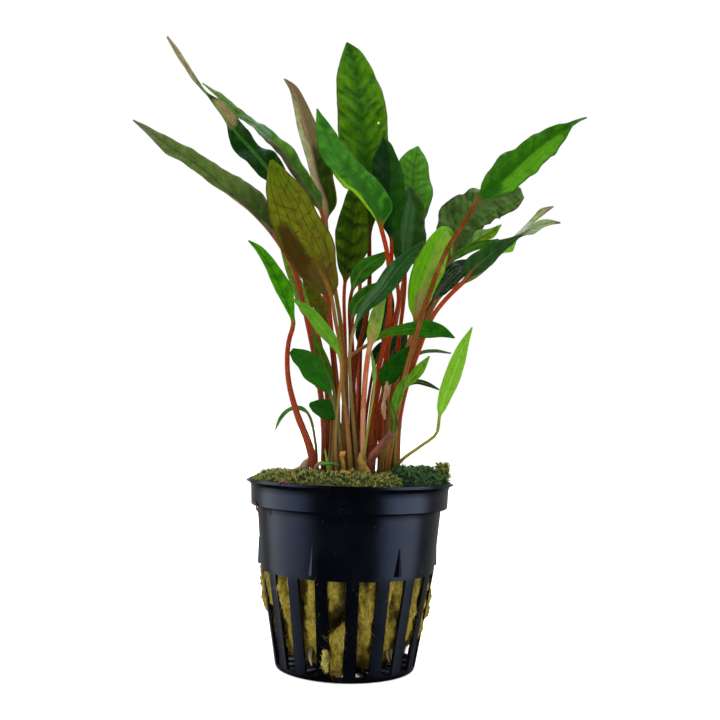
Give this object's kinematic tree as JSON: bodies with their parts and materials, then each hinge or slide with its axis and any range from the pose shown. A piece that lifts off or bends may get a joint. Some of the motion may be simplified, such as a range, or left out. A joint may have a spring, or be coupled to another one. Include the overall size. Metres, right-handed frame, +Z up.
{
  "type": "potted cryptocoryne",
  "caption": "Bushy aquarium plant with long lance-shaped leaves on red stalks, rooted in rock wool with moss on top, in a small round slotted net pot.",
  "frame": {"origin": "centre of the underside of the pot's floor, on the surface that the pot stands on", "axes": "+Z up along the pot's axis, +X to the right of the pictured side, -Y towards the viewer of the pictured side"},
  "size_m": [0.1222, 0.0702, 0.1756],
  "materials": {
    "pot_plastic": "satin black moulded plastic",
    "rock_wool": "matted mineral fibres, damp",
    "olive_moss": "fine matt shoots",
    "blue_moss": "fine matt shoots",
    "bright_leaf": "smooth leaf with soft sheen",
    "lime_leaf": "smooth leaf with soft sheen",
    "mid_leaf": "smooth leaf with soft sheen",
    "dark_leaf": "glossy leaf",
    "olive_leaf": "leaf with soft sheen",
    "pale_leaf": "dull leaf underside",
    "red_stalk": "smooth stalk with fine speckles"
  },
  "bodies": {
    "root": {"net_pot": "pot_plastic", "rock_wool_plug": "rock_wool", "moss_mat": "olive_moss", "moss_cushion": "blue_moss", "tall_centre_leaf": "mid_leaf", "pale_left_leaf": "pale_leaf", "bright_crossing_leaf": "bright_leaf", "dark_upper_leaf": "dark_leaf", "olive_centre_leaf": "olive_leaf", "big_olive_leaf": "olive_leaf", "centre_green_leaf": "mid_leaf", "dark_glossy_leaf": "dark_leaf", "small_centre_leaf": "mid_leaf", "far_left_leaf": "olive_leaf", "twisted_left_leaf": "dark_leaf", "wavy_left_leaf": "bright_leaf", "left_bright_leaf": "bright_leaf", "centre_light_leaf": "bright_leaf", "dark_oval_leaf": "dark_leaf", "small_round_leaf": "dark_leaf", "strap_leaf": "lime_leaf", "reticulated_leaf": "pale_leaf", "olive_veined_leaf": "olive_leaf", "low_green_leaf": "mid_leaf", "right_reaching_leaf": "bright_leaf", "rumpled_leaf": "mid_leaf", "arched_bright_leaf": "lime_leaf", "bright_right_leaf": "bright_leaf", "dark_right_leaf": "dark_leaf", "right_low_leaf": "dark_leaf", "right_narrow_leaf": "pale_leaf", "small_margined_leaf": "lime_leaf", "green_strip_leaf": "mid_leaf", "striped_dark_leaf": "dark_leaf", "small_yellow_green_leaf": "lime_leaf", "level_dark_leaf": "mid_leaf", "thin_edge_leaf": "mid_leaf", "light_low_leaf": "bright_leaf", "narrow_dark_leaf": "dark_leaf", "dark_broad_leaf": "dark_leaf", "yellow_edged_leaf": "bright_leaf", "pink_rib_leaf": "lime_leaf", "dark_inner_leaf": "dark_leaf", "blue_green_leaf": "mid_leaf", "dark_thin_leaf": "dark_leaf", "short_dark_leaf": "dark_leaf", "small_olive_leaf": "olive_leaf", "thread_leaf": "lime_leaf", "back_tall_leaf": "mid_leaf", "back_left_leaf": "mid_leaf", "back_right_leaf": "dark_leaf", "back_upper_leaf": "bright_leaf", "back_low_left_leaf": "dark_leaf", "back_low_right_leaf": "mid_leaf", "cut_stalk": "red_stalk", "young_shoot": "lime_leaf", "fallen_leaf": "dark_leaf"}
  },
  "joints": []
}
